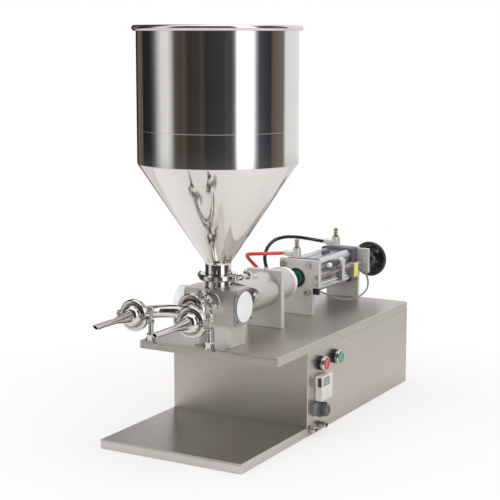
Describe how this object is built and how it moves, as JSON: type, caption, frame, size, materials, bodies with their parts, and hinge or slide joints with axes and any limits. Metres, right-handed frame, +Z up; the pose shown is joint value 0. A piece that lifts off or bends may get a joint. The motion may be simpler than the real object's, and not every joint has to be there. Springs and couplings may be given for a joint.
{
  "type": "pneumatic piston filler",
  "caption": "Bench-top piston filler with a conical hopper, rotary valve block, material cylinder pushed by an air cylinder, forked outlet with nozzles, tray, deck and side controls.",
  "frame": {"origin": "middle of the base plate's underside, at the middle of the base's length and width", "axes": "+Z up, +Y towards the handwheel at the back, -Y towards the nozzles and the tray, +X to the side with the push buttons"},
  "size_m": [0.352, 0.9561, 0.8209],
  "materials": {
    "brushed_steel": "brushed, warm grey",
    "satin_steel": "satin machined steel",
    "polished_steel": "mirror polished stainless",
    "aluminium": "extruded, clear anodised",
    "grey_cast": "dark grey coated cast heads",
    "white_plastic": "white turned plastic",
    "valve_plastic": "off-white turned plastic",
    "black_plastic": "moulded black",
    "black_rubber": "matt",
    "brass": "turned",
    "red_tube": "glossy polyurethane",
    "black_tube": "glossy polyurethane",
    "grey_cable": "matt sheath",
    "red_cap": "glossy",
    "green_cap": "glossy",
    "green_seal": "moulded",
    "beige_plastic": "moulded",
    "yellow_label": "yellow label on grey",
    "grey_plastic": "moulded"
  },
  "bodies": {
    "base": {"tray_pan": "brushed_steel", "base_plate": "satin_steel", "cabinet_shell": "brushed_steel", "deck_plate": "brushed_steel", "service_panel": "satin_steel", "valve_bracket": "satin_steel", "valve_block": "brushed_steel", "inlet_ferrule": "polished_steel", "hopper": "polished_steel", "hopper_clamp": "satin_steel", "outlet_stub": "polished_steel", "outlet_clamp": "satin_steel", "outlet_manifold": "polished_steel", "left_nozzle_clamp": "satin_steel", "right_nozzle_clamp": "satin_steel", "nozzle_left": "polished_steel", "nozzle_right": "polished_steel", "material_cylinder": "satin_steel", "cylinder_support": "satin_steel", "support_cap": "satin_steel", "front_bracket": "satin_steel", "front_head": "grey_cast", "rod_seal": "green_seal", "air_cylinder_barrel": "aluminium", "rear_head": "grey_cast", "rear_bracket": "satin_steel", "flow_valve_front": "aluminium", "flow_valve_rear": "aluminium", "air_fitting_front": "satin_steel", "air_fitting_rear": "satin_steel", "guide_rod": "polished_steel", "reed_sensor": "yellow_label", "red_button_body": "black_plastic", "green_button_body": "black_plastic", "counter_unit": "beige_plastic", "dial_flange": "grey_plastic", "red_air_tube": "red_tube", "black_air_tube": "black_tube", "sensor_cable": "grey_cable", "cable_clip": "black_rubber", "cable_gland": "black_plastic", "end_plate_left": "satin_steel", "end_plate_right": "satin_steel"},
    "piston_group": {"piston": "white_plastic", "piston_rod": "polished_steel"},
    "valve_rotor": {"valve_core": "valve_plastic", "core_disc": "white_plastic"},
    "stroke_wheel": {"handwheel": "black_plastic", "adjusting_screw": "polished_steel"},
    "stroke_sensor": {"sensor_slider": "aluminium", "round_sensor": "white_plastic"},
    "needle_front": {"flow_needle_front": "brass"},
    "needle_rear": {"flow_needle_rear": "brass"},
    "hopper_nut": {"hopper_wing_nut": "satin_steel"},
    "outlet_nut": {"outlet_wing_nut": "satin_steel"},
    "left_nozzle_nut": {"left_nozzle_wing_nut": "satin_steel"},
    "right_nozzle_nut": {"right_nozzle_wing_nut": "satin_steel"},
    "speed_dial": {"dial_knob": "grey_plastic"},
    "red_button": {"red_button_cap": "red_cap"},
    "green_button": {"green_button_cap": "green_cap"}
  },
  "joints": [
    {"name": "piston_slide", "type": "slide", "parent": "base", "child": "piston_group", "axis": [0, -1, 0], "range_m": [0, 0.125]},
    {"name": "valve_turn", "type": "hinge", "parent": "base", "child": "valve_rotor", "pos_m": [0, -0.2018, 0.272], "axis": [-1, 0, 0], "range_deg": [0, 90]},
    {"name": "wheel_turn", "type": "hinge", "parent": "base", "child": "stroke_wheel", "pos_m": [0.05, 0.4171, 0.277], "axis": [0, 1, 0], "range_deg": [-4050, 4500]},
    {"name": "sensor_slide", "type": "slide", "parent": "base", "child": "stroke_sensor", "axis": [0, 1, 0], "range_m": [-0.038, 0.034]},
    {"name": "needle_front_turn", "type": "hinge", "parent": "base", "child": "needle_front", "pos_m": [-0.01, 0.1557, 0.32], "axis": [0, 0, 1], "range_deg": [-720, 720]},
    {"name": "needle_rear_turn", "type": "hinge", "parent": "base", "child": "needle_rear", "pos_m": [-0.01, 0.3536, 0.32], "axis": [0, 0, 1], "range_deg": [-720, 720]},
    {"name": "hopper_nut_turn", "type": "hinge", "parent": "base", "child": "hopper_nut", "pos_m": [0.0455, -0.1668, 0.3288], "axis": [0, 1, 0], "continuous": true},
    {"name": "outlet_nut_turn", "type": "hinge", "parent": "base", "child": "outlet_nut", "pos_m": [0.03644, -0.3003, 0.29511], "axis": [0.6428, 0, -0.766], "continuous": true},
    {"name": "left_nut_turn", "type": "hinge", "parent": "base", "child": "left_nozzle_nut", "pos_m": [-0.0265, -0.4038, 0.2492], "axis": [0, 0, -1], "continuous": true},
    {"name": "right_nut_turn", "type": "hinge", "parent": "base", "child": "right_nozzle_nut", "pos_m": [0.1015, -0.4038, 0.2492], "axis": [0, 0, -1], "continuous": true},
    {"name": "dial_turn", "type": "hinge", "parent": "base", "child": "speed_dial", "pos_m": [0.17, -0.0798, 0.049], "axis": [1, 0, 0], "range_deg": [-135, 135]},
    {"name": "red_press", "type": "slide", "parent": "base", "child": "red_button", "axis": [-1, 0, 0], "range_m": [0, 0.0035], "stiffness_N_per_m": 400},
    {"name": "green_press", "type": "slide", "parent": "base", "child": "green_button", "axis": [-1, 0, 0], "range_m": [0, 0.0035], "stiffness_N_per_m": 400}
  ],
  "couplings": [
    {"joint": "sensor_slide", "follows": "wheel_turn", "m_per_rad": -0.00047746}
  ]
}
